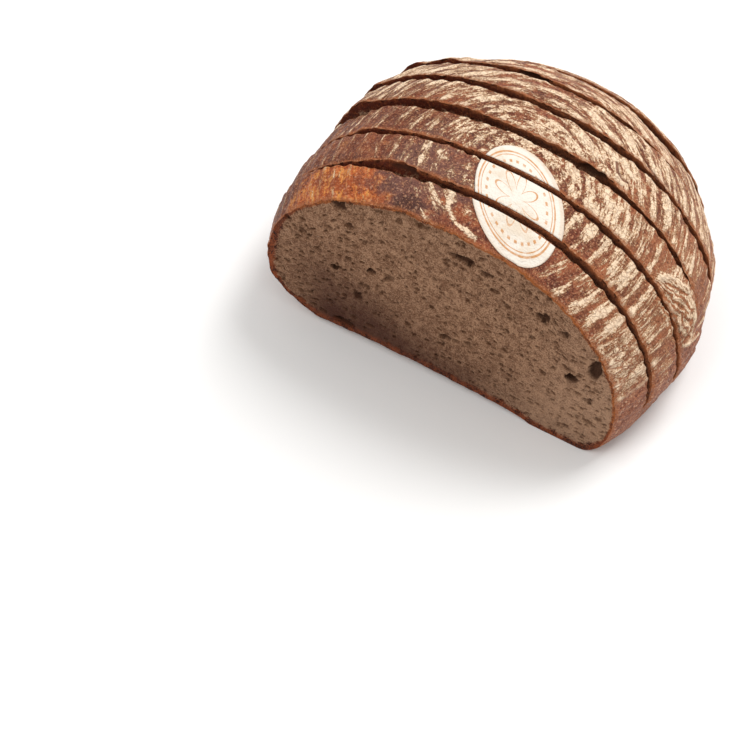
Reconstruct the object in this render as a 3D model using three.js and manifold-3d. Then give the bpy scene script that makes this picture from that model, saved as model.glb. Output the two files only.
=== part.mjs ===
import * as THREE from 'three';
import { mergeVertices } from 'three/addons/utils/BufferGeometryUtils.js';
import Module from 'manifold-3d';

// A round sourdough loaf, cut open at the front and sliced, whose slices still stand together.
// An oval wafer lies over the crown of the first three. Millimetres, +Z up: X runs along the
// cuts, and Y runs from the open front to the heel.

// The loaf: a dome over a rounded base
const loafRadius = 100; // plan radius at the girth
const loafHeight = 101.3;
const girthHeight = 25; // where the loaf is widest
const centreBehindCut = 50.4; // from the base edge of the open front to the loaf's axis
const planPower = 2.16; // 2 is a true circle, more is squarer
const crownPower = 2.4; // how far the crown stays flat
const flankPower = 1.9; // how steeply the flank drops to the girth
const baseShareLeft = 0.52; // flat share of the base's radius, at each end of the cut
const baseShareRight = 0.9;
const loafSlant = 4.7; // degrees that the dome slants towards the heel
const unevenDepth = 0.9; // hand-shaped unevenness of the crust
const shoulders = { right: 17, left: 160, spread: 18, rise: 2 }; // fuller flanks, degrees round the plan
const baseHollow = { x: -15, reach: 66, back: 44, rise: 4.6 }; // the base arches up under the cut
const sideSteps = 72;
const heightSteps = 32;

// The slices, from the open front to the heel
const sliceThickness = 16.4;
const slicePitch = 17.7; // along the base
const sliceLeans = [5.5, 6.2, 6.7, 8.8, 10.5, 12.4, 14.6]; // degrees back from upright
const sliceShifts = [-0.6, 1.2, 1.6, 0.4, -0.6, -2.2, -0.8]; // slipped along the cut
const slabReach = 400; // cutting slabs reach well past the loaf

// Crags: raised crust, and rims torn by the knife
const crag = { x: 90, y: 50, z: 59, spread: 13, height: 1.8 };
const tears = [
  { slice: 2, across: -26, size: [17, 2.6, 4] },
  { slice: 4, across: 36, size: [7, 5, 6] },
  { slice: 6, across: -10, size: [9, 3.5, 5] },
];

// The open crumb of the first slice: large pockets by hand, then small pores by rule
const pockets = [
  { across: 76, up: 53, size: [4.2, 4, 5] },
  { across: 66, up: 41, size: [2.8, 3, 2.2] },
  { across: -52, up: 79, size: [4.6, 3, 2] },
  { across: 9, up: 81, size: [6, 3, 2.2] },
  { across: 48, up: 69, size: [3.4, 3, 2] },
  { across: -40, up: 29, size: [2.6, 3, 2] },
  { across: -46, up: 8, size: [6.5, 4, 2.2] },
];
const poreCount = 26;
const poreSeed = 7;
const poreSizes = { least: 0.9, most: 2.1, stretch: 1.7, depth: 2 };

// The wafer on the crown
const wafer = { x: 18.5, y: 34, halfLength: 29.5, halfWidth: 17.5, turn: -46.5, thickness: 0.6, lift: 0.35 };
const waferSlices = 3;
const waferSides = 48;

const crustColour = 0x7d4a32;
const crustRoughness = 0.8;
const waferColour = 0xf0e6da;
const waferRoughness = 0.7;

const radians = THREE.MathUtils.degToRad;
const { lerp, smoothstep } = THREE.MathUtils;
const slant = Math.tan(radians(loafSlant));

const wasm = await Module();
wasm.setup();

// Solids and meshes

function solidOf(geometry) {
  const bare = geometry.clone();
  bare.deleteAttribute('normal');
  bare.deleteAttribute('uv');
  const merged = mergeVertices(bare, 1e-4);
  return new wasm.Manifold(new wasm.Mesh({
    numProp: 3,
    vertProperties: new Float32Array(merged.attributes.position.array),
    triVerts: new Uint32Array(merged.index.array),
  }));
}

function meshOf(name, solid, colour, roughness) {
  const { numProp, vertProperties, triVerts } = solid.getMesh();
  const geometry = new THREE.BufferGeometry();
  const corners = new THREE.InterleavedBuffer(vertProperties, numProp);
  geometry.setAttribute('position', new THREE.InterleavedBufferAttribute(corners, 3, 0));
  geometry.setIndex(new THREE.BufferAttribute(triVerts, 1));
  geometry.computeVertexNormals();
  const material = new THREE.MeshStandardMaterial({ color: colour, roughness, metalness: 0 });
  const mesh = new THREE.Mesh(geometry, material);
  mesh.name = name;
  return mesh;
}

// The loaf's form

function planReach(turn) {
  const along = Math.abs(Math.cos(turn)) ** planPower;
  const back = Math.abs(Math.sin(turn)) ** planPower;
  return loafRadius / (along + back) ** (1 / planPower);
}

// Share of the plan radius and height, from the crown (0) down to the middle of the base (1).
function profile(share, turn) {
  if (share <= 0.5) {
    const rise = Math.cos(share * Math.PI);
    return {
      out: (1 - rise ** flankPower) ** (1 / crownPower),
      up: lerp(girthHeight, loafHeight, rise),
    };
  }
  const flat = lerp(baseShareLeft, baseShareRight, smoothstep(Math.cos(turn), -1, 1));
  const under = (share - 0.5) * 4;
  if (under >= 1) return { out: flat * (2 - under), up: 0 };
  const bend = under * Math.PI / 2;
  return { out: lerp(flat, 1, Math.cos(bend)), up: girthHeight * (1 - Math.sin(bend)) };
}

function shoulderRise(turn) {
  const tightness = 2 / radians(shoulders.spread) ** 2;
  const bulge = (middle) => Math.exp((Math.cos(turn - radians(middle)) - 1) * tightness);
  return shoulders.rise * (bulge(shoulders.right) + bulge(shoulders.left));
}

function unevenness(turn, up) {
  const waves = Math.sin(3 * turn + up / 21) + 0.6 * Math.sin(5 * turn - up / 13 + 1)
    + 0.4 * Math.sin(9 * turn + up / 9);
  return (unevenDepth * waves / 2 + shoulderRise(turn)) * smoothstep(up, 0, girthHeight);
}

function cragRise(point) {
  const away = point.distanceTo(new THREE.Vector3(crag.x, crag.y, crag.z));
  return crag.height * Math.exp(-((away / crag.spread) ** 2));
}

// The whole loaf as a solid, its crust raised evenly by lift.
function loafSolid(lift) {
  const sphere = new THREE.SphereGeometry(1, sideSteps, heightSteps).rotateX(Math.PI / 2);
  const place = sphere.attributes.position;
  const point = new THREE.Vector3();
  for (let i = 0; i < place.count; i += 1) {
    point.fromBufferAttribute(place, i).normalize();
    const turn = Math.atan2(point.y, point.x);
    const share = Math.acos(THREE.MathUtils.clamp(point.z, -1, 1)) / Math.PI;
    const { out, up } = profile(share, turn);
    const reach = planReach(turn) * out;
    point.set(reach * Math.cos(turn), reach * Math.sin(turn) + centreBehindCut + up * slant, up);
    const rise = unevenness(turn, up) * out + cragRise(point);
    point.x += (rise + lift * out) * Math.cos(turn);
    point.y += (rise + lift * out) * Math.sin(turn);
    if (share < 0.5) point.z += lift + rise * (1 - out);
    place.setXYZ(i, point.x, point.y, point.z);
  }
  return solidOf(sphere);
}

// Slices

// A leaning slab: its front face passes through the base line of the slice's front cut.
function sliceSlab(index) {
  const isHeel = index === sliceLeans.length - 1;
  const thickness = isHeel ? slabReach : sliceThickness;
  const slab = new THREE.BoxGeometry(slabReach, thickness, slabReach);
  slab.translate(0, thickness / 2, 0);
  slab.rotateX(-radians(sliceLeans[index]));
  slab.translate(0, slicePitch * index, 0);
  return solidOf(slab);
}

function crownHeight(x, y) {
  const along = Math.abs(x / loafRadius) ** planPower;
  const back = Math.abs((y - centreBehindCut) / loafRadius) ** planPower;
  const out = Math.min(1, (along + back) ** (1 / planPower));
  return lerp(girthHeight, loafHeight, (1 - out ** crownPower) ** (1 / flankPower));
}

function hollow(size, x, y, z, lean, detail = 1) {
  const ball = new THREE.IcosahedronGeometry(1, detail).scale(...size);
  ball.rotateX(-radians(lean));
  ball.translate(x, y, z);
  return solidOf(ball);
}

// A torn rim: a hollow on the front upper edge of a slice.
function tearHollow({ slice, across, size }) {
  const index = slice - 1;
  const lean = sliceLeans[index];
  const base = slicePitch * index;
  const up = crownHeight(across, base + slant * loafHeight / 2);
  return hollow(size, across, base + up * Math.tan(radians(lean)), up, lean);
}

function seededDraw(seed) {
  let state = seed;
  return () => {
    state = (state * 1664525 + 1013904223) % 4294967296;
    return state / 4294967296;
  };
}

function crumbHollows() {
  const lean = sliceLeans[0];
  const draw = seededDraw(poreSeed);
  const onCut = (size, across, up, detail) => {
    const back = up * Math.tan(radians(lean));
    return hollow(size, across, back, up, lean, detail);
  };
  const hollows = pockets.map(({ size, across, up }) => onCut(size, across, up, 1));
  for (let i = 0; i < poreCount; i += 1) {
    const across = lerp(-0.72, 0.72, draw()) * loafRadius;
    const up = lerp(0.14, 0.86, draw()) * crownHeight(across, 0);
    const radius = lerp(poreSizes.least, poreSizes.most, draw() ** 2);
    hollows.push(onCut([radius * poreSizes.stretch, poreSizes.depth, radius], across, up, 0));
  }
  return hollows;
}

function sliceSolid(loaf, index) {
  const { x, reach, back, rise } = baseHollow;
  const arch = hollow([reach, back, rise], x, 0, 0, 0, 6);
  let solid = loaf.intersect(sliceSlab(index)).subtract(arch);
  if (index === 0) crumbHollows().forEach((pore) => { solid = solid.subtract(pore); });
  tears.filter(({ slice }) => slice === index + 1).forEach((tear) => {
    solid = solid.subtract(tearHollow(tear));
  });
  return solid;
}

// Wafer: an even skin just above the crust, inside an oval, cut with the slices

function waferSkin() {
  const oval = new THREE.CylinderGeometry(1, 1, loafHeight, waferSides).rotateX(Math.PI / 2);
  oval.scale(wafer.halfLength, wafer.halfWidth, 1);
  oval.rotateZ(radians(wafer.turn));
  oval.translate(wafer.x, wafer.y, loafHeight);
  const skin = loafSolid(wafer.lift + wafer.thickness).subtract(loafSolid(wafer.lift));
  return skin.intersect(solidOf(oval));
}

// The sliced loaf: each slice slips along its cut, and takes its piece of the wafer with it.
function slicedLoaf() {
  const group = new THREE.Group();
  const loaf = loafSolid(0);
  const skin = waferSkin();
  sliceShifts.forEach((shift, index) => {
    const stack = new THREE.Group();
    stack.position.x = shift;
    stack.add(meshOf(`slice_${index + 1}`, sliceSolid(loaf, index), crustColour, crustRoughness));
    if (index < waferSlices) {
      const piece = skin.intersect(sliceSlab(index));
      stack.add(meshOf(`wafer_${index + 1}`, piece, waferColour, waferRoughness));
    }
    group.add(stack);
  });
  return group;
}

// The origin is the middle of the box, on the base.
const part = slicedLoaf();
const middle = new THREE.Box3().setFromObject(part).getCenter(new THREE.Vector3());
part.position.set(-middle.x, -middle.y, 0);

export default part;
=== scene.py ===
import math

import bmesh
import bpy
import numpy as np
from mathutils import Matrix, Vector
from mathutils.geometry import delaunay_2d_cdt


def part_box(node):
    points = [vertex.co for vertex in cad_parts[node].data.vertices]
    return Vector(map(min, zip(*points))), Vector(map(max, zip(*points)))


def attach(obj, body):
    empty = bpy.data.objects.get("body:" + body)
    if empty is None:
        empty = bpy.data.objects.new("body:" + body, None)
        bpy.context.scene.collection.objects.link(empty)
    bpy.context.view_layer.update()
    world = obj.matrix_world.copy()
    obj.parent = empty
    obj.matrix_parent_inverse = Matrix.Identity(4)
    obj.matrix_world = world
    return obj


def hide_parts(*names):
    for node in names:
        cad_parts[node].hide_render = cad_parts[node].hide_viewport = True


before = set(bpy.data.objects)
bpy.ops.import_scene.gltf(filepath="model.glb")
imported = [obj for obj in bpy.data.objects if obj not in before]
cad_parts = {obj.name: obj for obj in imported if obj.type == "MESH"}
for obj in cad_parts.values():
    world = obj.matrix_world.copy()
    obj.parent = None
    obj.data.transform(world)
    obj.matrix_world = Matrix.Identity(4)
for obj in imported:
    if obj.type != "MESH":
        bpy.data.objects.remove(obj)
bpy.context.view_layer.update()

mm = 0.001
scene = bpy.context.scene

# the whole loaf before it was cut, in mm from the base middle of the open front
loafForm = {
    "radius": 100.0,
    "height": 101.3,
    "girth": 25.0,          # height of the widest line
    "crownUp": 60.0,        # above this the crust counts as crown
    "axisBack": 50.4,       # loaf's axis behind the open front
    "planPower": 2.16,
    "crownPower": 2.4,
    "flankPower": 1.9,
    "baseLeft": 0.52,       # flat share of the base, at each end of the cut
    "baseRight": 0.9,
    "slant": math.tan(math.radians(4.7)),
    "uneven": 0.9,
    "waves": [(1.0, 3, 21, 0), (0.6, 5, -13, 1), (0.4, 9, 9, 0)],   # weight, count round, pitch up, start
    "shoulderTurns": (math.radians(17), math.radians(160)),
    "shoulderSpread": math.radians(18),
    "shoulderRise": 2.0,
    "crag": (90.0, 50.0, 59.0),
    "cragSpread": 13.0,
    "cragRise": 1.8,
    "arch": (-15.0, 66.0, 44.0, 4.6),   # hollow under the front: middle, reach across, reach back, rise
}
sliceCuts = {
    "count": 7,
    "thickness": 16.4,
    "pitch": 17.7,
    "leans": [5.5, 6.2, 6.7, 8.8, 10.5, 12.4, 14.6],
    "slips": [-0.6, 1.2, 1.6, 0.4, -0.6, -2.2, -0.8],
    "middleUp": 38.0,       # inside every section, the point its rim is drawn around
    "originX": 1.281,       # the frame's origin, across from the open front's middle
    "seed": 40,
}
originY = -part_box("slice_1")[0].y / mm
frameOrigin = (sliceCuts["originX"] * mm, originY * mm, 0.0)

# how the knife frayed, bent and rounded the rims, in mm
rimWear = {
    "tearing": 2.3,         # how far the rims are frayed, to and fro
    "level": 0.42,          # where the even rim lies on the wavering line
    "limits": (-0.2, 1.0),
    "knots": [(22, 0.8), (60, 0.8), (140, 1.0), (260, 1.0)],    # knots round a rim, and their weight
    "lowest": -0.35,        # sine of the angle where fraying starts, and the span in which it grows
    "lowSpan": 0.5,
    "frayReach": 1.6,       # how far in behind a rim its fraying and its lean are felt
    "leanReach": 4.5,
    "sinkReach": 1.3,       # how far across a cut face its frayed rim is felt
    "front": 0.6,           # how far each rim is rounded
    "openFront": 0.25,
    "rear": 0.2,
    "roundReach": 0.8,
    "rearRub": 1.2,         # by this much less are the rear rims rubbed
}

# mesh spacing in mm, and counts
spacing = {
    "rim": 0.7,
    "baseRim": 2.2,
    "baseUp": 6.0,          # below this a rim counts as base
    "rows": 25,
    "heelRows": 70,
    "heelProbe": 2.0,       # where the heel's rim is measured, behind its cut
    "openCrumb": 0.5,
    "hiddenCrumb": 1.3,
    "hiddenMiddle": 6.0,
    "hiddenBand": 9.0,      # hidden cut faces are fine this far in from the rim
    "jitter": 0.16,         # shares of a step: how far points stray, and how far they keep from the rim
    "rimClear": 0.55,
    "probes": 3001,         # rim points measured before they are spaced evenly
    "batch": 4000,
    "rimSearch": (170.0, 30),       # reach and number of halvings
    "heelSearch": (120.0, 36),
    "heelUps": (5.0, 60.0, 56),     # heights where the heel's tip is sought: lowest, highest, count
}


def smooth(share):
    share = np.clip(share, 0.0, 1.0)
    return share * share * (3.0 - 2.0 * share)


# 1 at 0, falling to both sides
def bell(away, power=2):
    return np.exp(-away ** power)


# the furthest reach that is still inside, for so many ways at once
def furthest(isInside, ways, reach, halvings):
    near = np.zeros(ways)
    far = np.full(ways, reach)
    for _ in range(halvings):
        half = (near + far) / 2
        inside = isInside(half)
        near = np.where(inside, half, near)
        far = np.where(inside, far, half)
    return near


def planReach(turn):
    power = loafForm["planPower"]
    along = np.abs(np.cos(turn)) ** power
    back = np.abs(np.sin(turn)) ** power
    return loafForm["radius"] / (along + back) ** (1.0 / power)


def unevenness(turn, up):
    waves = sum(weight * np.sin(count * turn + up / pitch + start)
                for weight, count, pitch, start in loafForm["waves"])
    tightness = 2.0 / loafForm["shoulderSpread"] ** 2
    bulges = sum(np.exp((np.cos(turn - middle) - 1) * tightness) for middle in loafForm["shoulderTurns"])
    rise = loafForm["uneven"] * waves / 2 + loafForm["shoulderRise"] * bulges
    return rise * smooth(up / loafForm["girth"])


# how far a point lies outside the loaf's side, in mm, less than 0 inside
def loafSide(place):
    x, y, z = place[..., 0], place[..., 1], place[..., 2]
    girth, height = loafForm["girth"], loafForm["height"]
    back = y - loafForm["axisBack"] - loafForm["slant"] * z
    turn = np.arctan2(back, x)
    rise = np.clip((z - girth) / (height - girth), 0.0, 1.0)
    upper = (1.0 - rise ** loafForm["flankPower"]) ** (1.0 / loafForm["crownPower"])
    flatLeft, flatRight = loafForm["baseLeft"], loafForm["baseRight"]
    flat = flatLeft + (flatRight - flatLeft) * smooth((np.cos(turn) + 1) / 2)
    drop = np.clip(1.0 - z / girth, 0.0, 1.0)
    lower = flat + (1.0 - flat) * np.sqrt(1.0 - drop * drop)
    out = np.where(z > girth, upper, lower)
    away = np.linalg.norm(place - np.array(loafForm["crag"]), axis=-1)
    crag = loafForm["cragRise"] * bell(away / loafForm["cragSpread"])
    side = np.hypot(x, back) - planReach(turn) * out - unevenness(turn, z) * out - crag
    middle, across, deep, arch = loafForm["arch"]
    underArch = ((x - middle) / across) ** 2 + (y / deep) ** 2 + (z / arch) ** 2 < 1.0
    return np.where((z < 0) | (z > height) | underArch, loafForm["radius"], side)


# where single slices stand out of the loaf's even side, or fall short of it: first and last slice,
# middle and reach across and up, rise, and the rim from which it fades with the length of fading
throughout = ("front", math.inf)
standOut = [
    (1, 1, (94.0, 16.0), (14.0, 20.0), 0.6, throughout),
    (2, 3, (96.0, 12.0), (14.0, 10.0), -3.2, throughout),
    (4, 5, (97.0, 28.0), (18.0, 9.5), -3.4, throughout),
    (2, 2, (-47.0, 92.0), (7.0, 5.0), 1.6, ("front", 6.0)),
    (3, 3, (-62.0, 89.0), (8.0, 6.0), 2.4, ("front", 6.0)),
    (3, 3, (-76.0, 78.0), (9.0, 9.0), -2.6, ("rear", 8.0)),
    (3, 3, (-92.0, 56.0), (12.0, 9.0), -1.5, throughout),
    (4, 4, (-78.0, 79.0), (9.0, 9.0), 3.8, ("front", 7.0)),
    (4, 4, (-71.0, 81.0), (9.0, 8.0), -0.7, ("rear", 6.0)),
    (5, 5, (-80.0, 71.0), (5.0, 5.0), 2.0, ("front", 5.0)),
    (5, 5, (-81.0, 63.0), (6.0, 6.0), 1.6, ("rear", 8.0)),
    (5, 5, (-74.0, 69.0), (5.0, 5.0), -2.4, ("rear", 5.0)),
    (6, 6, (-70.0, 72.0), (7.0, 6.0), 2.8, ("front", 7.0)),
    (6, 6, (-54.0, 83.0), (6.0, 6.0), 2.2, ("front", 6.0)),
    (4, 7, (-92.0, 45.0), (24.0, 17.0), -2.6, throughout),
    (6, 7, (-38.0, 77.0), (11.0, 9.0), -2.8, throughout),
    (1, 1, (-30.0, 93.0), (12.0, 7.0), -1.4, ("rear", 5.0)),
    (2, 2, (88.0, 60.0), (12.0, 14.0), -1.6, ("rear", 7.0)),
    (3, 3, (88.0, 58.0), (12.0, 14.0), -1.4, ("front", 7.0)),
    (5, 5, (93.0, 60.0), (14.0, 13.0), 2.4, ("front", 10.0)),
    (6, 6, (48.0, 72.0), (15.0, 12.0), -3.0, ("rear", 8.0)),
]


def slicePush(index, place, inward):
    x, z = place[..., 0], place[..., 2]
    behind = np.maximum(inward, 0.0)
    ahead = np.maximum(sliceCuts["thickness"] - inward, 0.0)
    front = rimWear["front"] if index else rimWear["openFront"]
    push = -front * np.exp(-behind / rimWear["roundReach"])
    if index < sliceCuts["count"] - 1:
        push = push - rimWear["rear"] * np.exp(-ahead / rimWear["roundReach"])
    for first, last, middle, reach, rise, (rim, length) in standOut:
        if first <= index + 1 <= last:
            away = ((x - middle[0]) / reach[0]) ** 2 + ((z - middle[1]) / reach[1]) ** 2
            fade = (behind if rim == "front" else ahead) / length
            push = push + rise * np.exp(-away - fade)
    return push


# where the rims along a gap lean forward or back: the slice before the gap, the rims that lean,
# middle and reach across and up, and the shift
bothRims = ("rear", "front")
rimLeans = [
    (1, ("rear",), (-26.0, 94.0), (13.0, 9.0), -2.2),
    (1, ("front",), (-37.0, 93.0), (12.0, 9.0), -2.2),
    (1, bothRims, (90.0, 48.0), (26.0, 32.0), 0.5),
    (2, ("rear",), (56.0, 90.0), (22.0, 16.0), -1.0),
    (3, bothRims, (2.0, 101.0), (24.0, 10.0), 0.6),
    (3, bothRims, (60.0, 85.0), (18.0, 14.0), 1.1),
    (3, bothRims, (94.0, 58.0), (13.0, 17.0), 1.3),
    (5, bothRims, (40.0, 84.0), (28.0, 14.0), 0.7),
]


def rimLean(index, rim, side):
    gap = index + 1 if side == "rear" else index
    shift = np.zeros(len(rim))
    for before, sides, middle, reach, most in rimLeans:
        if before == gap and side in sides:
            shift += most * bell(np.linalg.norm((rim - np.array(middle)) / np.array(reach), axis=1))
    return shift


# a point of slice number index: across the cut, up along the leaning cut, and in behind its front face
def cutPoint(index, across, up, inward):
    lean = math.radians(sliceCuts["leans"][index])
    across, up, inward = np.broadcast_arrays(across, up, inward)
    y = sliceCuts["pitch"] * index + inward * math.cos(lean) + up * math.sin(lean)
    z = up * math.cos(lean) - inward * math.sin(lean)
    return np.stack([across, y, z], axis=-1)


# the rim of a section, found outward from its middle in the given directions
def rimPlaces(index, inward, angles, middle):
    def outward(reach):
        return middle[0] + reach * np.cos(angles), middle[1] + reach * np.sin(angles)

    def isInside(reach):
        place = cutPoint(index, *outward(reach), inward)
        return loafSide(place) < slicePush(index, place, inward)

    return np.stack(outward(furthest(isInside, len(angles), *spacing["rimSearch"])), axis=-1)


# directions that space a rim evenly, with fewer of them under the base
def evenAngles(index, inward, middle):
    angles = np.linspace(-math.pi / 2, 1.5 * math.pi, spacing["probes"])
    rim = rimPlaces(index, inward, angles, middle)
    gaps = np.hypot(*np.diff(rim, axis=0).T)
    low = (rim[1:, 1] + rim[:-1, 1]) / 2 < spacing["baseUp"]
    length = np.concatenate([[0], np.cumsum(gaps / np.where(low, spacing["baseRim"], spacing["rim"]))])
    return np.interp(np.linspace(0, length[-1], int(length[-1]), endpoint=False), length, angles)


# distance from the rim, less than 0 outside it, and the nearest rim point's number
def rimDistance(places, rim):
    distance = np.empty(len(places))
    nearest = np.empty(len(places), int)
    edge = np.roll(rim, -1, axis=0) - np.roll(rim, 1, axis=0)
    for start in range(0, len(places), spacing["batch"]):
        part = slice(start, start + spacing["batch"])
        gap = places[part, None, :] - rim[None, :, :]
        square = (gap ** 2).sum(axis=2)
        best = square.argmin(axis=1)
        offset = gap[np.arange(len(gap)), best]
        side = edge[best, 0] * offset[:, 1] - edge[best, 1] * offset[:, 0]
        distance[part] = np.sqrt(square.min(axis=1)) * np.sign(side)
        nearest[part] = best
    return distance, nearest


# inner points of a cut face: even and jittered, few in the middle of a hidden face
def facePlaces(rim, isOpen, draw):
    pitch = spacing["openCrumb"] if isOpen else spacing["hiddenCrumb"]
    jitter = spacing["jitter"]
    low, high = rim.min(axis=0), rim.max(axis=0)
    rows = np.arange(low[1], high[1], pitch * math.sqrt(0.75))
    grid = np.stack(np.meshgrid(np.arange(low[0], high[0], pitch), rows), axis=-1)
    grid[1::2, :, 0] += pitch / 2
    places = grid.reshape(-1, 2) + draw.uniform(-jitter, jitter, (grid.size // 2, 2)) * pitch
    depth, nearest = rimDistance(places, rim)
    keep = depth > pitch * spacing["rimClear"]
    if not isOpen:
        sparse = draw.uniform(0, 1, len(places)) < (pitch / spacing["hiddenMiddle"]) ** 2
        keep &= (depth < spacing["hiddenBand"]) | sparse
    return places[keep], depth[keep], nearest[keep]


# a wavering line from 0 to 1 round a closed rim, from seeded knots of several spacings
def waver(angles, draw, knots):
    height = np.zeros_like(angles)
    for count, weight in knots:
        level = draw.uniform(0, 1, count)
        spot = (angles - angles[0]) / (2 * math.pi) * count
        left = np.floor(spot).astype(int)
        share = smooth(spot - left)
        height += weight * (level[left % count] * (1 - share) + level[(left + 1) % count] * share)
    return height / sum(weight for _, weight in knots)


# flour rings left by the proving basket: distance from their middle along the crust, and the way round
basketRings = {"middle": (6.0, 42.0), "wrap": 50.0, "steps": 220}


def ringFlow(place):
    x = place[:, 0] - basketRings["middle"][0]
    y = place[:, 1] - basketRings["middle"][1]
    share = np.linspace(0, 1, basketRings["steps"])
    out = (1 - (1 - share) ** loafForm["flankPower"]) ** (1 / loafForm["crownPower"]) * loafForm["radius"]
    drop = share * (loafForm["height"] - loafForm["girth"])
    arc = np.concatenate([[0], np.cumsum(np.hypot(np.diff(out), np.diff(drop)))])
    # near the crown the plan distance counts, down the flank the fall does
    extra = np.interp(loafForm["height"] - place[:, 2], drop, np.maximum(arc - out, 0))
    turn = np.arctan2(y, x)
    wrap = basketRings["wrap"]
    return np.stack([np.hypot(x, y) + extra, wrap * np.cos(turn), wrap * np.sin(turn)], axis=1)


# where flour lies on the crust: it thickens to the back and right, with some spots and drawn lines
flourCover = {
    "level": 0.42,
    "perX": 0.0032,
    "perY": 0.0088,
    "midY": 45.0,
    "most": 0.66,
    # middle, spread and weight
    "spots": [
        ((-29.5, 41.2, 98.3), 1.6, 0.9), ((-28.1, 34.6, 97.7), 1.8, 0.9),
        ((-23.6, 41.0, 99.3), 1.4, 0.9), ((-18.2, 38.5, 99.6), 2.0, 0.9),
        ((-17.2, 45.1, 100.3), 1.7, 0.8), ((-13.0, 18.0, 96.0), 9.0, 0.3),
        ((6.0, 50.0, 101.0), 12.0, 0.16), ((86.0, 14.0, 52.0), 14.0, 0.4),
        ((84.0, 35.0, 66.0), 14.0, -0.14), ((64.0, 57.0, 86.0), 9.0, -0.25),
        ((93.0, 32.0, 46.0), 10.0, -0.3), ((94.0, 67.0, 50.0), 14.0, -0.5),
        ((40.0, 14.0, 89.0), 12.0, -0.14), ((-2.0, 100.0, 96.0), 12.0, -0.3),
        ((1.0, 86.0, 99.5), 8.0, -0.2), ((-18.5, 55.8, 100.6), 9.0, 0.35),
        ((-14.0, 42.0, 100.0), 9.0, -0.2), ((-21.0, 11.0, 93.5), 6.5, -0.4),
        ((75.0, 56.0, 78.0), 9.0, -0.3), ((-70.0, 64.0, 82.0), 9.0, 0.12),
        ((-67.0, 81.0, 82.0), 10.0, 0.2), ((41.0, 104.0, 88.0), 18.0, 0.12),
        ((53.0, 32.0, 89.0), 14.0, -0.2), ((93.0, 46.0, 38.0), 9.0, -0.2),
        ((80.0, 92.0, 68.0), 16.0, -0.2), ((-50.0, 42.0, 92.0), 14.0, -0.16),
        ((52.0, 50.0, 88.0), 16.0, 0.06), ((20.0, 14.0, 94.0), 10.0, -0.2),
        ((40.0, 84.0, 94.0), 23.0, 0.12), ((-16.0, 40.0, 100.0), 7.0, -0.12),
        ((70.0, 32.0, 79.0), 7.0, -0.12),
    ],
    "arc": [(-5.9, 24.0), (-5.3, 21.2), (-4.1, 18.1), (-2.4, 16.2),
            (1.5, 13.7), (3.9, 12.5), (7.5, 12.2), (12.7, 10.5)],
    "arcWidth": 1.0,
    "arcWeight": 1.4,
    # bars of the rings that stand out on the right: distance from the rings' middle, from and to back
    "bars": [
        (46.6, 12.0, 24.5), (54.5, 11.0, 15.0), (54.4, 17.5, 22.0), (60.8, 10.8, 19.5),
        (67.8, 13.0, 24.0), (72.8, 16.0, 27.0), (34.8, 32.5, 42.0), (42.8, 28.5, 40.5),
        (50.9, 29.0, 41.5), (57.8, 31.8, 43.5), (60.5, 29.0, 36.0), (65.0, 30.0, 41.0),
        (40.0, 48.0, 52.0), (46.8, 48.0, 57.5), (54.5, 47.0, 59.0), (62.0, 51.0, 61.0),
    ],
    "barWidth": 1.7,
    "barWeight": 0.5,
}
# thin, orange crust at the front left: middle and reach, across and back
warmCrust = {
    "middle": (-56.0, 12.0),
    "reach": (19.0, 16.0),
    "edge": 1.6,            # share of the reach where it ends
    "laterSlices": 0.12,
    "fromUp": 46.0,
    "fullUp": 66.0,
}
# creases in the crust: line, width and depth
creases = [
    ([(43.0, 78.3, 94.9), (45.7, 73.7, 94.6), (48.9, 71.4, 93.6), (51.8, 72.5, 92.3)], 0.9, 0.9),
    ([(47.2, 94.5, 89.5), (54.1, 90.8, 87.7), (61.2, 86.8, 85.0)], 0.9, 0.8),
    ([(71.4, 12.3, 71.0), (76.0, 13.8, 67.3), (81.7, 17.3, 62.6)], 0.8, 0.5),
    ([(82.6, 8.2, 55.3), (86.1, 16.9, 56.1)], 0.8, 0.5),
    ([(79.0, 8.4, 61.6), (83.6, 15.8, 59.7)], 0.8, 0.45),
]
# a patch of loose crust on the right flank, its wrinkles a fan above a hinge: places back and up
flakedPatch = {
    "middle": (47.8, 59.0),
    "reach": (9.0, 15.0),
    "edgePower": 6,
    "hinge": (43.0, 81.0),
    "fromX": 60.0,
    "lips": [
        [(47.5, 73.5), (52.0, 71.0), (55.5, 64.5), (55.1, 56.0), (53.5, 49.0), (50.0, 45.0), (46.0, 42.5)],
        [(43.0, 43.5), (51.5, 38.8), (60.5, 36.8), (67.3, 36.1)],
    ],
    "lipWidth": 0.9,
}
# flour that dried into a crackled skin, on the right of the first slice
crackledFlour = {"middle": (85.0, 12.0, 54.0), "reach": 15.0, "edgePower": 4}
# edges of crust that curl up beside a crease
curls = [
    [(44.4, 81.5, 93.9), (48.9, 77.4, 93.0), (51.9, 76.4, 91.9)],
    [(46.5, 71.5, 94.8), (50.0, 69.4, 93.6)],
]


def lineDistance(place, line):
    best = np.full(len(place), math.inf)
    for start, end in zip(np.array(line[:-1]), np.array(line[1:])):
        way = end - start
        share = np.clip((place - start) @ way / (way @ way), 0, 1)
        best = np.minimum(best, np.linalg.norm(place - start - share[:, None] * way, axis=1))
    return best


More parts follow.
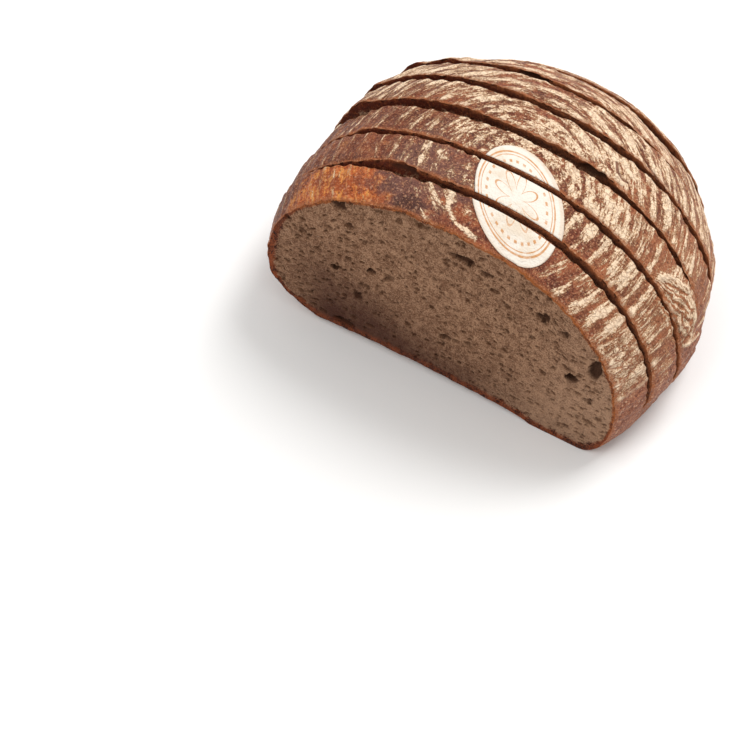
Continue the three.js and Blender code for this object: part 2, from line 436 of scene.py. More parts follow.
def flourAmount(place):
    cover = flourCover
    amount = cover["level"] + cover["perX"] * place[:, 0] + cover["perY"] * (place[:, 1] - cover["midY"])
    amount = np.clip(amount, 0.0, cover["most"])
    for middle, spread, weight in cover["spots"]:
        amount = amount + weight * bell(np.linalg.norm(place - np.array(middle), axis=1) / spread)
    x, y = place[:, 0] - basketRings["middle"][0], place[:, 1] - basketRings["middle"][1]
    onCrown = place[:, 2] > loafForm["crownUp"]
    for reach, start, end in cover["bars"]:
        beside = np.maximum(np.maximum(start - place[:, 1], place[:, 1] - end), 0.0)
        away = np.hypot((np.hypot(x, y) - reach) / cover["barWidth"], beside / cover["barWidth"])
        amount = amount + cover["barWeight"] * bell(away) * (x > 0) * onCrown
    arc = bell(lineDistance(place[:, :2], cover["arc"]) / cover["arcWidth"]) * onCrown
    return amount + cover["arcWeight"] * arc


def warmth(place, index):
    x = (place[:, 0] - warmCrust["middle"][0]) / warmCrust["reach"][0]
    y = (place[:, 1] - warmCrust["middle"][1]) / warmCrust["reach"][1]
    up = smooth((place[:, 2] - warmCrust["fromUp"]) / (warmCrust["fullUp"] - warmCrust["fromUp"]))
    return smooth(warmCrust["edge"] - np.hypot(x, y)) * up * (1.0 if index == 0 else warmCrust["laterSlices"])


# creases, loose flakes, lips and crackled flour of the crust, as amounts at each place
def crustMarks(place, skin, index):
    flank = place[:, 1:]
    onRight = skin * (place[:, 0] > flakedPatch["fromX"])
    middle, reach = np.array(flakedPatch["middle"]), np.array(flakedPatch["reach"])
    fromPatch = np.linalg.norm((flank - middle) / reach, axis=1)
    fromCrackled = np.linalg.norm(place - np.array(crackledFlour["middle"]), axis=1) / crackledFlour["reach"]
    hinge, width = flakedPatch["hinge"], flakedPatch["lipWidth"]
    crease = sum(depth * bell(lineDistance(place, line) / wide) for line, wide, depth in creases)
    lip = sum(bell(lineDistance(flank, line) / width) for line in flakedPatch["lips"])
    curl = sum(bell(lineDistance(place, line) / width) for line in curls)
    return {
        "crease": crease * skin,
        "flaked": bell(fromPatch, flakedPatch["edgePower"]) * onRight,
        "lip": lip * onRight + curl * skin,
        "fan": np.arctan2(flank[:, 0] - hinge[0], flank[:, 1] - hinge[1]),
        "crackled": bell(fromCrackled, crackledFlour["edgePower"]) * skin * (index == 0),
    }


# hollows that the knife tore under the rims: slice, place across, drop below the rim, half sizes
rimTears = [
    (2, -37.0, 0.0, (13.0, 2.4, 2.6)),
    (4, 37.0, 2.6, (9.0, 2.8, 2.6)),
    (6, -9.0, 2.4, (10.0, 3.2, 2.8)),
]
# large pockets of the open crumb: place across, height, half sizes
crumbPockets = [
    (76.0, 53.0, (3.0, 4.0, 6.0)),
    (66.0, 41.0, (2.7, 3.0, 3.0)),
    (-52.0, 79.0, (4.6, 3.0, 2.0)),
    (9.0, 81.0, (6.0, 3.0, 2.2)),
    (48.0, 69.0, (3.4, 3.0, 2.0)),
    (-40.0, 29.0, (2.2, 2.4, 2.0)),
    (-46.0, 8.0, (6.5, 4.0, 2.2)),
    (20.4, 78.8, (3.6, 2.2, 1.5)),
    (58.9, 65.3, (2.6, 2.0, 1.5)),
    (76.0, 32.7, (1.6, 1.8, 1.3)),
    (-78.0, 57.7, (2.2, 2.0, 1.5)),
    (-46.2, 69.8, (2.4, 1.8, 1.4)),
    (-56.2, 63.6, (2.2, 1.8, 1.3)),
    (-69.5, 54.3, (2.0, 1.8, 1.4)),
    (-52.8, 41.0, (1.6, 1.6, 1.3)),
    (-33.9, 48.8, (2.0, 2.0, 1.7)),
    (6.4, 30.2, (2.4, 2.0, 1.6)),
]
tearTaper = 1.4     # how soon a tear reaches its full depth


# moves what lies inside an uneven, egg-shaped hollow to its far wall, along push
def pressHollow(places, centre, size, push, tapers):
    x, y, z = (places - centre).T
    uneven = 1.0 + 0.13 * np.sin(0.5 * x + 0.35 * z + centre[0]) + 0.08 * np.sin(0.8 * z - 0.7 * x + 0.5 * y)
    start = (places - centre) / np.array(size) * uneven[:, None]
    way = np.array(push) / np.array(size)
    a = (way ** 2).sum()
    b = (start * way).sum(axis=1)
    c = (start ** 2).sum(axis=1) - 1.0
    run = (-b + np.sqrt(np.maximum(b * b - a * c, 0))) / a
    depth = np.where(c < 0, run, 0.0)
    if tapers:
        depth = depth * smooth(-tearTaper * c)
    return places + depth[:, None] * np.array(push), depth


def pressHollows(places, index):
    lean = math.radians(sliceCuts["leans"][index])
    inward = np.array([0.0, math.cos(lean), -math.sin(lean)])
    upward = np.array([math.pi / 2])
    hollows = []
    for number, across, drop, size in rimTears:
        if number == index + 1:
            top = rimPlaces(index, 0.0, upward, (across, sliceCuts["middleUp"]))[0, 1]
            hollows.append((cutPoint(index, across, top - drop, 0.0), size, True))
    if index == 0:
        for across, up, size in crumbPockets:
            hollows.append((cutPoint(0, across, up / math.cos(lean), 0.0), size, False))
    pressed = np.zeros(len(places))
    for centre, size, tapers in hollows:
        places, depth = pressHollow(places, centre, size, inward, tapers)
        pressed = np.maximum(pressed, depth)
    return places, pressed


# depth of the browned layer on a cut: thin over the crown, thick under the base and at the left end
browning = {
    "crown": 1.3,
    "base": 2.4,
    "left": 2.6,
    # on hidden cuts: the browned rim and, behind it, the gaps' painted shade
    "hidden": 5.0,
    "baseUp": (14.0, 4.0),          # where each thickening starts and is full
    "leftAcross": (-72.0, -92.0),
    "leftUp": (74.0, 48.0),
}


def crustDepth(rim, isOpen):
    if not isOpen:
        return np.full(len(rim), browning["hidden"])

    def grows(value, limits):
        return smooth((limits[0] - value) / (limits[0] - limits[1]))

    base = grows(rim[:, 1], browning["baseUp"])
    left = grows(rim[:, 0], browning["leftAcross"]) * grows(rim[:, 1], browning["leftUp"])
    return browning["crown"] + browning["base"] * base + browning["left"] * left


# the furthest point of the heel behind its cut, as depth and height along the cut
def heelTip(index):
    ups = np.linspace(*spacing["heelUps"])

    def isInside(inward):
        return loafSide(cutPoint(index, np.zeros_like(ups), ups, inward)) < 0

    depths = furthest(isInside, len(ups), *spacing["heelSearch"])
    best = depths.argmax()
    return depths[best], ups[best]


# the crumb's own coordinates: across, in, and a height that bends with the crown
crumbBend = {"rimUp": 20.0, "leastTop": 74.0, "height": 90.0, "perInset": 3.0}


def crumbGrain(rim, flat, inset):
    upper = rim[rim[:, 1] > crumbBend["rimUp"]]
    order = np.argsort(upper[:, 0])
    top = np.interp(flat[:, 0], upper[order, 0], upper[order, 1])
    level = np.clip(flat[:, 1] / np.maximum(top, crumbBend["leastTop"]), 0.0, 1.0)
    inward = np.broadcast_to(inset * crumbBend["perInset"], len(flat))
    return np.stack([flat[:, 0], inward, level * crumbBend["height"]], axis=1)


def newBlock():
    keys = ("places", "faces", "crumb", "grain", "rimShare", "edgeNear", "skin", "openCut")
    return {key: [] for key in keys}


def addPlaces(block, places, grain, **fields):
    block["places"].append(places)
    block["grain"].append(grain)
    for key, value in fields.items():
        block[key].append(np.broadcast_to(value, len(places)))


def addFaces(block, faces, isCrumb):
    block["faces"].extend(faces)
    block["crumb"].extend([isCrumb] * len(faces))


def placeCount(block):
    return sum(len(part) for part in block["places"])


# the crust of a slice as rows of rims from its front cut to its back cut, or to the heel's tip
def addCrust(block, index, draw):
    isHeel = index == sliceCuts["count"] - 1
    thickness, middleUp = sliceCuts["thickness"], sliceCuts["middleUp"]
    middle = (0.0, middleUp)
    angles = evenAngles(index, spacing["heelProbe"] if isHeel else thickness / 2, middle)
    above = smooth((np.sin(angles) - rimWear["lowest"]) / rimWear["lowSpan"])

    def fraying():
        line = waver(angles, draw, rimWear["knots"]) - rimWear["level"]
        return rimWear["tearing"] * line.clip(*rimWear["limits"]) * above

    front, rear = fraying(), fraying()
    frontLean = rimLean(index, rimPlaces(index, 0.0, angles, middle), "front")
    if isHeel:
        depth, tip = heelTip(index)
        insets = np.sin(np.linspace(0, math.pi / 2, spacing["heelRows"]))[:-1] * depth
        rear, rearLean = rear * 0, rear * 0
    else:
        depth, tip = thickness, middleUp
        insets = thickness * (0.5 - 0.5 * np.cos(np.linspace(0, math.pi, spacing["rows"])))
        rearLean = rimLean(index, rimPlaces(index, thickness, angles, middle), "rear")
    rims = []
    for inset in insets:
        share = inset / depth if isHeel else 0.0
        ahead = depth - inset
        bent = inset + front * math.exp(-inset / rimWear["frayReach"])
        bent = bent - rear * math.exp(-ahead / rimWear["frayReach"])
        bent = bent - frontLean * math.exp(-inset / rimWear["leanReach"])
        bent = bent + rearLean * math.exp(-ahead / rimWear["leanReach"])
        rim = rimPlaces(index, bent, angles, (0.0, middleUp * (1 - share) + tip * share))
        rims.append((rim, bent))
        edge = inset if isHeel else min(inset, ahead + rimWear["rearRub"])
        addPlaces(block, cutPoint(index, rim[:, 0], rim[:, 1], bent), crumbGrain(rim, rim, inset),
                  rimShare=0.0, edgeNear=edge, skin=1.0, openCut=float(index == 0 and inset < thickness / 2))
    around = len(angles)
    here = np.arange(around)
    after = np.roll(here, -1)
    for row in range(len(insets) - 1):
        low, high = row * around, (row + 1) * around
        quads = np.stack([low + here, low + after, high + after, high + here], axis=1)
        addFaces(block, quads.tolist(), False)
    if isHeel:
        addPlaces(block, cutPoint(index, np.zeros(1), np.full(1, tip), depth), np.zeros((1, 3)),
                  rimShare=0.0, edgeNear=depth, skin=1.0, openCut=0.0)
        low, last = (len(insets) - 1) * around, placeCount(block) - 1
        addFaces(block, [[low + i, low + j, last] for i, j in zip(here, after)], False)
    return rims


# a cut face, filled with triangles inside its rim
def addCut(block, index, rims, row, isOpen, draw):
    rim, bent = rims[row]
    inset = 0.0 if row == 0 else sliceCuts["thickness"]
    flat, depth, nearest = facePlaces(rim, isOpen, draw)
    around = len(rim)
    points = [Vector(p) for p in np.concatenate([rim, flat])]
    ring = [(i, (i + 1) % around) for i in range(around)]
    triangles = delaunay_2d_cdt(points, ring, [], 1, 1e-7)[2]
    sunk = inset + (bent[nearest] - inset) * np.exp(-depth / rimWear["sinkReach"])
    number = np.concatenate([row * around + np.arange(around), placeCount(block) + np.arange(len(flat))])
    share = depth / crustDepth(rim, isOpen)[nearest]
    addPlaces(block, cutPoint(index, flat[:, 0], flat[:, 1], sunk), crumbGrain(rim, flat, inset),
              rimShare=share, edgeNear=0.0, skin=0.0, openCut=float(isOpen))
    addFaces(block, [[int(number[i]) for i in face] for face in triangles], True)


wafer = {
    "middle": (18.5, 34.0),
    "halfLength": 29.5,
    "halfWidth": 17.5,
    "turn": math.radians(-46.5),
    "lift": 0.15,
    "thickness": 0.3,
    "slices": 3,
    "bedRim": 0.05,         # share past its edge in which the crust's relief comes back
    "margin": 0.5,          # how far each piece ends before the cuts
    "rowStep": 0.6,
    "columns": 64,
    "searchTurns": (0.2, math.pi - 0.2, 4000),
    "leastTurns": 40,       # rows with fewer turns on the oval are left out
}


# how far a plan point lies from the wafer's middle, 1 at its edge
def waferShare(place):
    x = place[..., 0] - wafer["middle"][0]
    y = place[..., 1] - wafer["middle"][1]
    turn = wafer["turn"]
    along = (x * math.cos(turn) + y * math.sin(turn)) / wafer["halfLength"]
    aside = (y * math.cos(turn) - x * math.sin(turn)) / wafer["halfWidth"]
    return np.hypot(along, aside)


# from loaf millimetres to the frame's metres
def toFrame(places, index):
    return (places + np.array([sliceCuts["slips"][index] - sliceCuts["originX"], -originY, 0.0])) * mm


def newObject(name, places, faces):
    mesh = bpy.data.meshes.new(name)
    mesh.from_pydata(places.tolist(), [], faces)
    mesh.update()
    mesh.polygons.foreach_set("use_smooth", np.ones(len(mesh.polygons), bool))
    item = bpy.data.objects.new(name, mesh)
    scene.collection.objects.link(item)
    return item


def setValues(mesh, name, kind, domain, values):
    layer = mesh.attributes.new(name, kind, domain)
    values = np.ascontiguousarray(values, bool if kind == "BOOLEAN" else np.float32)
    layer.data.foreach_set("vector" if kind == "FLOAT_VECTOR" else "value", values.ravel())


def faceOutward(item):
    work = bmesh.new()
    work.from_mesh(item.data)
    bmesh.ops.recalc_face_normals(work, faces=work.faces)
    work.to_mesh(item.data)
    work.free()


def sliceObject(index):
    draw = np.random.default_rng(sliceCuts["seed"] + index)
    block = newBlock()
    rims = addCrust(block, index, draw)
    addCut(block, index, rims, 0, index == 0, draw)
    if index < sliceCuts["count"] - 1:
        addCut(block, index, rims, len(rims) - 1, False, draw)
    loaf, skin = np.concatenate(block["places"]), np.concatenate(block["skin"])
    shaped, pressed = pressHollows(loaf, index)
    item = newObject(f"loaf_slice_{index + 1}", toFrame(shaped, index), block["faces"])
    covered = smooth((1.0 + wafer["bedRim"] - waferShare(loaf)) / wafer["bedRim"])
    covered = covered * (loaf[:, 2] > loafForm["crownUp"]) * (index < wafer["slices"])
    fields = {key: np.concatenate(block[key]) for key in ("rimShare", "edgeNear", "openCut")}
    fields.update(crustMarks(loaf, skin, index))
    fields.update(skin=skin * (1.0 - covered), pressed=pressed)
    fields.update(flourAmount=flourAmount(loaf), warmth=warmth(loaf, index))
    for name, values in fields.items():
        setValues(item.data, name, "FLOAT", "POINT", values)
    setValues(item.data, "grain", "FLOAT_VECTOR", "POINT", np.concatenate(block["grain"]))
    setValues(item.data, "ringFlow", "FLOAT_VECTOR", "POINT", ringFlow(loaf))
    setValues(item.data, "crumbFace", "BOOLEAN", "FACE", block["crumb"])
    faceOutward(item)
    return item


# node helpers: a value is a number, a colour, a vector or another node's socket
def link(tree, socket, value):
    if isinstance(value, bpy.types.NodeSocket):
        tree.links.new(value, socket)
    elif value is not None:
        socket.default_value = value


def put(tree, kind, values=None, **settings):
    node = tree.nodes.new(kind)
    for name, setting in settings.items():
        setattr(node, name, setting)
    for key, value in (values or {}).items():
        link(tree, node.inputs[key], value)
    return node


def calc(tree, operation, a, b=None, c=None):
    return put(tree, "ShaderNodeMath", {0: a, 1: b, 2: c}, operation=operation).outputs[0]


# the sum of values, each with its weight
def total(tree, first, *terms):
    result = calc(tree, "MULTIPLY", *first)
    for value, weight in terms:
        result = calc(tree, "MULTIPLY_ADD", value, weight, result)
    return result


def joined(tree, operation, first, *values):
    for value in values:
        first = calc(tree, operation, first, value)
    return first


def product(tree, *values):
    return joined(tree, "MULTIPLY", *values)


def largest(tree, *values):
    return joined(tree, "MAXIMUM", *values)


def inverse(tree, value):
    return calc(tree, "SUBTRACT", 1.0, value)


def vectorCalc(tree, operation, a, b):
    key = "Scale" if operation == "SCALE" else 1
    node = put(tree, "ShaderNodeVectorMath", {0: a, key: b}, operation=operation)
    return node.outputs["Value" if operation == "DISTANCE" else "Vector"]


def ramp(tree, value, low, high, start=0.0, end=1.0):
    node = put(tree, "ShaderNodeMapRange", {0: value, 1: low, 2: high, 3: start, 4: end},
               interpolation_type="SMOOTHSTEP")
    return node.outputs[0]


# a soft step from 0 to most, over a sum of values
def step(tree, low, high, *terms, most=1.0):
    return ramp(tree, total(tree, *terms), low, high, 0.0, most)


# noise around 0, from about -0.5 to 0.5
def noise(tree, where, scale, detail=2.0, roughness=0.5):
    node = put(tree, "ShaderNodeTexNoise",
               {"Vector": where, "Scale": scale, "Detail": detail, "Roughness": roughness})
    return calc(tree, "SUBTRACT", node.outputs[0], 0.5)


def splitVector(tree, value):
    return put(tree, "ShaderNodeSeparateXYZ", {0: value}).outputs


def mixColour(tree, share, a, b):
    return put(tree, "ShaderNodeMix", {0: share, 6: a, 7: b}, data_type="RGBA").outputs[2]


# colours laid over a base one after another, each with its share
def layered(tree, base, *layers):
    for share, tint in layers:
        base = mixColour(tree, share, base, tint)
    return base


# a place counted in cells of the given sizes
def inCells(tree, where, x, y, z):
    return vectorCalc(tree, "DIVIDE", where, put(tree, "ShaderNodeCombineXYZ", {0: x, 1: y, 2: z}).outputs[0])


# a place that strays with a noise
def strayed(tree, where, scale, detail, reach):
    stray = put(tree, "ShaderNodeTexNoise", {"Vector": where, "Scale": scale, "Detail": detail}).outputs[1]
    return vectorCalc(tree, "ADD", where, vectorCalc(tree, "SCALE", stray, reach))


floatSocket, vectorSocket = "NodeSocketFloat", "NodeSocketVector"
geometrySocket, materialSocket = "NodeSocketGeometry", "NodeSocketMaterial"


# a node group, each of whose inputs is given as a number or as its kind of socket
def newGroup(kind, name, inputs, outputs):
    tree = bpy.data.node_groups.new(name, kind)
    for label, given in inputs.items():
        isKind = isinstance(given, str)
        socketType = given if isKind else floatSocket
        socket = tree.interface.new_socket(label, in_out="INPUT", socket_type=socketType)
        if not isKind:
            socket.default_value = given
    for label, socketType in outputs.items():
        tree.interface.new_socket(label, in_out="OUTPUT", socket_type=socketType)
    return tree, tree.nodes.new("NodeGroupInput").outputs, tree.nodes.new("NodeGroupOutput").inputs


def useGroup(tree, group, values):
    kind = "ShaderNodeGroup" if tree.bl_idname == "ShaderNodeTree" else "GeometryNodeGroup"
    node = put(tree, kind, node_tree=group)
    for key, value in values.items():
        link(tree, node.inputs[key], value)
    return node.outputs


# round spots of uneven size, the smallest of them least: distance from a middle, 1 at the edge,
# and 1 for those that are kept
def scattered(tree, where, size, least, share):
    cells = put(tree, "ShaderNodeTexVoronoi", {"Vector": where, "Scale": 1.0}, feature="F1")
    chance = splitVector(tree, cells.outputs["Color"])
    radius = calc(tree, "MULTIPLY", size, calc(tree, "MULTIPLY_ADD", chance[0], 1.0 - least, least))
    away = calc(tree, "DIVIDE", cells.outputs["Distance"], radius)
    return away, calc(tree, "LESS_THAN", chance[1], share)


# round pits of uneven size in a stretched field of cells, and a ring round each pit; in the crumb's colour
# the pits are a painted shade and the rings a painted highlight
def poreGroup(kind):
    tree, given, result = newGroup(
        kind, "open pores " + kind[:3].lower(),
        {"Grain": vectorSocket, "Width": 4.0, "Height": 2.0, "Share": 0.5, "Size": 0.5},
        {"Pit": floatSocket, "Lip": floatSocket})
    where = inCells(tree, given["Grain"], given["Width"], given["Height"], given["Height"])
    where = strayed(tree, where, 1.1, 1.0, 0.8)
    away, chosen = scattered(tree, where, given["Size"], 0.3, given["Share"])
    hole = calc(tree, "SQRT", calc(tree, "MAXIMUM", inverse(tree, product(tree, away, away)), 0.0))
    link(tree, result["Pit"], product(tree, hole, chosen))
    link(tree, result["Lip"], product(tree, ramp(tree, away, 0.75, 1.05), ramp(tree, away, 1.6, 1.1), chosen))
    return tree


# wrinkles of loose crust that fan out from a hinge, 1 along each ridge
def wrinkleGroup(kind):
    tree, given, result = newGroup(
        kind, "flaked wrinkles " + kind[:3].lower(),
        {"Place": vectorSocket, "Fan": 0.0, "Count": 13.0}, {"Ridge": floatSocket})
    turn = total(tree, (given["Fan"], given["Count"]), (noise(tree, given["Place"], 0.16, 2.0), 9.0))
    link(tree, result["Ridge"], calc(tree, "ABSOLUTE", calc(tree, "SINE", turn)))
    return tree


# the basket's coils as a wave from 0 to 1 across the rings
def ringGroup(kind):
    tree, given, result = newGroup(
        kind, "basket rings " + kind[:3].lower(),
        {"Place": vectorSocket, "Flow": vectorSocket, "Pitch": 8.0}, {"Wave": floatSocket})
    place = given["Place"]
    reach = total(tree, (splitVector(tree, given["Flow"])[0], 1.0), (noise(tree, place, 0.022, 1.0), 10.0),
                  (noise(tree, place, 0.11, 1.0), 2.6))
    turn = product(tree, calc(tree, "DIVIDE", reach, given["Pitch"]), 2 * math.pi)
    link(tree, result["Wave"], calc(tree, "MULTIPLY_ADD", calc(tree, "COSINE", turn), 0.5, 0.5))
    return tree


# the loaf's surface: rings, lumps, flakes and grain on the crust, pits in the crumb
reliefSizes = {
    "Ring Pitch": 7.4,
    "Ring Height": 0.45,
    "Lump Height": 1.4,
    "Grain Height": 0.9,
    "Flake Height": 1.3,
    "Lip Height": 1.1,
    "Rim Curl": 2.0,
    "Pore Depth": 2.0,
    "Small Pore Depth": 1.3,
    "Knife Wave": 0.8,
}
crumbPores = {
    "large": {"Width": 7.4, "Height": 4.7, "Share": 0.4, "Size": 0.38},
    "small": {"Width": 4.0, "Height": 2.5, "Share": 0.6, "Size": 0.44},
    "tiny": {"Width": 2.0, "Height": 1.4, "Share": 0.55, "Size": 0.46},
}


# a place in the frame as loaf millimetres
def loafMillimetres(tree, where):
    return vectorCalc(tree, "SCALE", vectorCalc(tree, "ADD", where, frameOrigin), 1 / mm)


def loafSurfaceTree():
    kind = "GeometryNodeTree"
    tree, given, result = newGroup(
        kind, "loaf surface",
        {"Geometry": geometrySocket, **reliefSizes, "Crust": materialSocket, "Crumb": materialSocket},
        {"Geometry": geometrySocket})
    pores, rings, wrinkles = poreGroup(kind), ringGroup(kind), wrinkleGroup(kind)

    def named(label, dataType="FLOAT"):
        node = put(tree, "GeometryNodeInputNamedAttribute", {"Name": label}, data_type=dataType)
        return node.outputs["Attribute"]

    place = loafMillimetres(tree, tree.nodes.new("GeometryNodeInputPosition").outputs[0])
    flow, grain = named("ringFlow", "FLOAT_VECTOR"), named("grain", "FLOAT_VECTOR")
    wave = useGroup(tree, rings, {"Place": place, "Flow": flow, "Pitch": given["Ring Pitch"]})["Wave"]
    curl = product(tree, ramp(tree, named("edgeNear"), 3.0, 0.0), noise(tree, place, 0.16, 2.0))
    ridge = useGroup(tree, wrinkles, {"Place": place, "Fan": named("fan")})["Ridge"]
    rise = total(
        tree,
        (calc(tree, "SUBTRACT", wave, 0.5), given["Ring Height"]),
        (noise(tree, place, 0.06, 3.0), given["Lump Height"]),
        (noise(tree, place, 0.42, 3.0, 0.6), given["Grain Height"]),
        (curl, given["Rim Curl"]),
        (product(tree, ridge, named("flaked")), given["Flake Height"]),
        (named("lip"), given["Lip Height"]),
        (named("crease"), -1.0))
    aboveBase = ramp(tree, splitVector(tree, place)[2], 0.5, 8.0)
    rise = product(tree, rise, aboveBase, named("skin"))

    large = useGroup(tree, pores, {"Grain": grain, **crumbPores["large"]})["Pit"]
    small = useGroup(tree, pores, {"Grain": grain, **crumbPores["small"]})["Pit"]
    pit = total(tree, (large, given["Pore Depth"]), (small, given["Small Pore Depth"]),
                (noise(tree, place, 0.09, 2.0), given["Knife Wave"]))
    pit = product(tree, pit, ramp(tree, named("rimShare"), 0.35, 1.4))
    offset = calc(tree, "MULTIPLY", calc(tree, "SUBTRACT", rise, pit), mm)
    way = vectorCalc(tree, "SCALE", tree.nodes.new("GeometryNodeInputNormal").outputs[0], offset)
    moved = put(tree, "GeometryNodeSetPosition", {"Geometry": given["Geometry"], "Offset": way})
    real = put(tree, "GeometryNodeRealizeInstances", {0: moved.outputs[0]})
    crust = put(tree, "GeometryNodeSetMaterial", {"Geometry": real.outputs[0], "Material": given["Crust"]})
    crumb = put(tree, "GeometryNodeSetMaterial", {
        "Geometry": crust.outputs[0], "Selection": named("crumbFace", "BOOLEAN"), "Material": given["Crumb"]})
    link(tree, result["Geometry"], crumb.outputs[0])
    return tree


# runs a geometry tree on an object and keeps the result as its plain mesh
def runTree(item, tree, values):
    modifier = item.modifiers.new(tree.name, "NODES")
    modifier.node_group = tree
    for socket in tree.interface.items_tree:
        if socket.in_out == "INPUT" and socket.name in values:
            modifier[socket.identifier] = values[socket.name]
    graph = bpy.context.evaluated_depsgraph_get()
    evaluated = item.evaluated_get(graph)
    made = bpy.data.meshes.new_from_object(evaluated, preserve_all_data_layers=True, depsgraph=graph)
    item.modifiers.remove(modifier)
    old = item.data
    item.data = made
    made.name = item.name
    bpy.data.meshes.remove(old)


def colour(text):
    parts = [int(text[i:i + 2], 16) / 255 for i in (0, 2, 4)]
    return tuple(p / 12.92 if p <= 0.04045 else ((p + 0.055) / 1.055) ** 2.4 for p in parts) + (1.0,)


def newMaterial(name):
    material = bpy.data.materials.new(name)
    material.use_nodes = True
    tree = material.node_tree
    tree.nodes.clear()
    shader = tree.nodes.new("ShaderNodeBsdfPrincipled")
    tree.links.new(shader.outputs[0], tree.nodes.new("ShaderNodeOutputMaterial").inputs[0])
    return material, tree, shader


# the place on the loaf in mm, from the object's own coordinates
def loafPlace(tree):
    return loafMillimetres(tree, tree.nodes.new("ShaderNodeTexCoord").outputs["Object"])


def attribute(tree, name, output="Fac"):
    return put(tree, "ShaderNodeAttribute", attribute_name=name).outputs[output]


def setBump(tree, shader, height):
    bump = put(tree, "ShaderNodeBump", {"Strength": 1.0, "Distance": mm, "Height": height})
    link(tree, shader.inputs["Normal"], bump.outputs[0])


# tone of a surface at three scales, each around 0
def toneGroup():
    tree, given, result = newGroup(
        "ShaderNodeTree", "uneven tone",
        {"Place": vectorSocket, "Drift": 0.03, "Mottle": 0.2, "Speckle": 0.9},
        {"Drift": floatSocket, "Mottle": floatSocket, "Speckle": floatSocket})
    for name, detail, roughness in (("Drift", 2.0, 0.5), ("Mottle", 3.0, 0.6), ("Speckle", 2.0, 0.7)):
        link(tree, result[name], noise(tree, given["Place"], given[name], detail, roughness))
    return tree


# scattered grains, 1 at the middle of each
def grainGroup():
    tree, given, result = newGroup(
        "ShaderNodeTree", "scattered grains",
        {"Place": vectorSocket, "Pitch": 2.0, "Share": 0.3, "Size": 0.3}, {"Grain": floatSocket})
    where = inCells(tree, given["Place"], given["Pitch"], given["Pitch"], given["Pitch"])
    away, chosen = scattered(tree, where, given["Size"], 0.2, given["Share"])
    link(tree, result["Grain"], product(tree, ramp(tree, away, 1.0, 0.5), chosen))
    return tree


# a net of fine cracks, 1 along each
def crackGroup():
    tree, given, result = newGroup(
        "ShaderNodeTree", "fine cracks",
        {"Place": vectorSocket, "Pitch": 2.6, "Width": 0.1}, {"Crack": floatSocket})
    where = inCells(tree, given["Place"], given["Pitch"], given["Pitch"], given["Pitch"])
    where = strayed(tree, where, 0.9, 2.0, 1.4)
    cells = put(tree, "ShaderNodeTexVoronoi", {"Vector": where, "Scale": 1.0}, feature="DISTANCE_TO_EDGE")
    link(tree, result["Crack"], ramp(tree, cells.outputs["Distance"], given["Width"], 0.0))
    return tree


crustLook = {
    "dark": colour("5a2a1b"),
    "brown": colour("8b4a31"),
    "light": colour("c28b65"),
    "deep": colour("361910"),
    "dusky": colour("643220"),
    "mauve": colour("6f4b42"),
    "mauvePlace": (-20.0, 30.0, 97.0),
    "scorched": colour("47281f"),
    "scorchedPlace": (-20.5, 12.0, 94.0),
    "toasted": colour("9c4a22"),
    "warm": colour("c3642e"),
    "tan": colour("ae7049"),
    "amber": colour("d98f45"),
    "bare": colour("a96c50"),
    "bareDark": colour("7c4531"),
    "blister": colour("dbae8f"),
    "edge": colour("a35f36"),
    "dust": colour("bb8d64"),
    "flour": colour("f5dabb"),
    "flourShade": colour("c79c73"),
    "tone": {"Drift": 0.04, "Mottle": 0.2, "Speckle": 0.85},
    "longStreaks": (0.5, 0.11, 0.11),       # streaks per mm across the rings and along them
    "shortStreaks": (1.2, 0.34, 0.34),
    "blisters": {"Pitch": 1.7, "Share": 0.6, "Size": 0.5},
    "grains": {"Pitch": 1.6, "Share": 0.38, "Size": 0.42},
    "cracks": {"Pitch": 2.8, "Width": 0.12},
    "wideCracks": {"Pitch": 3.0, "Width": 0.15},
    "wideCrackDraw": (0.7, 0.42, 1.25),
    "wrinkleCount": 25.0,
    "specular": 0.2,
}


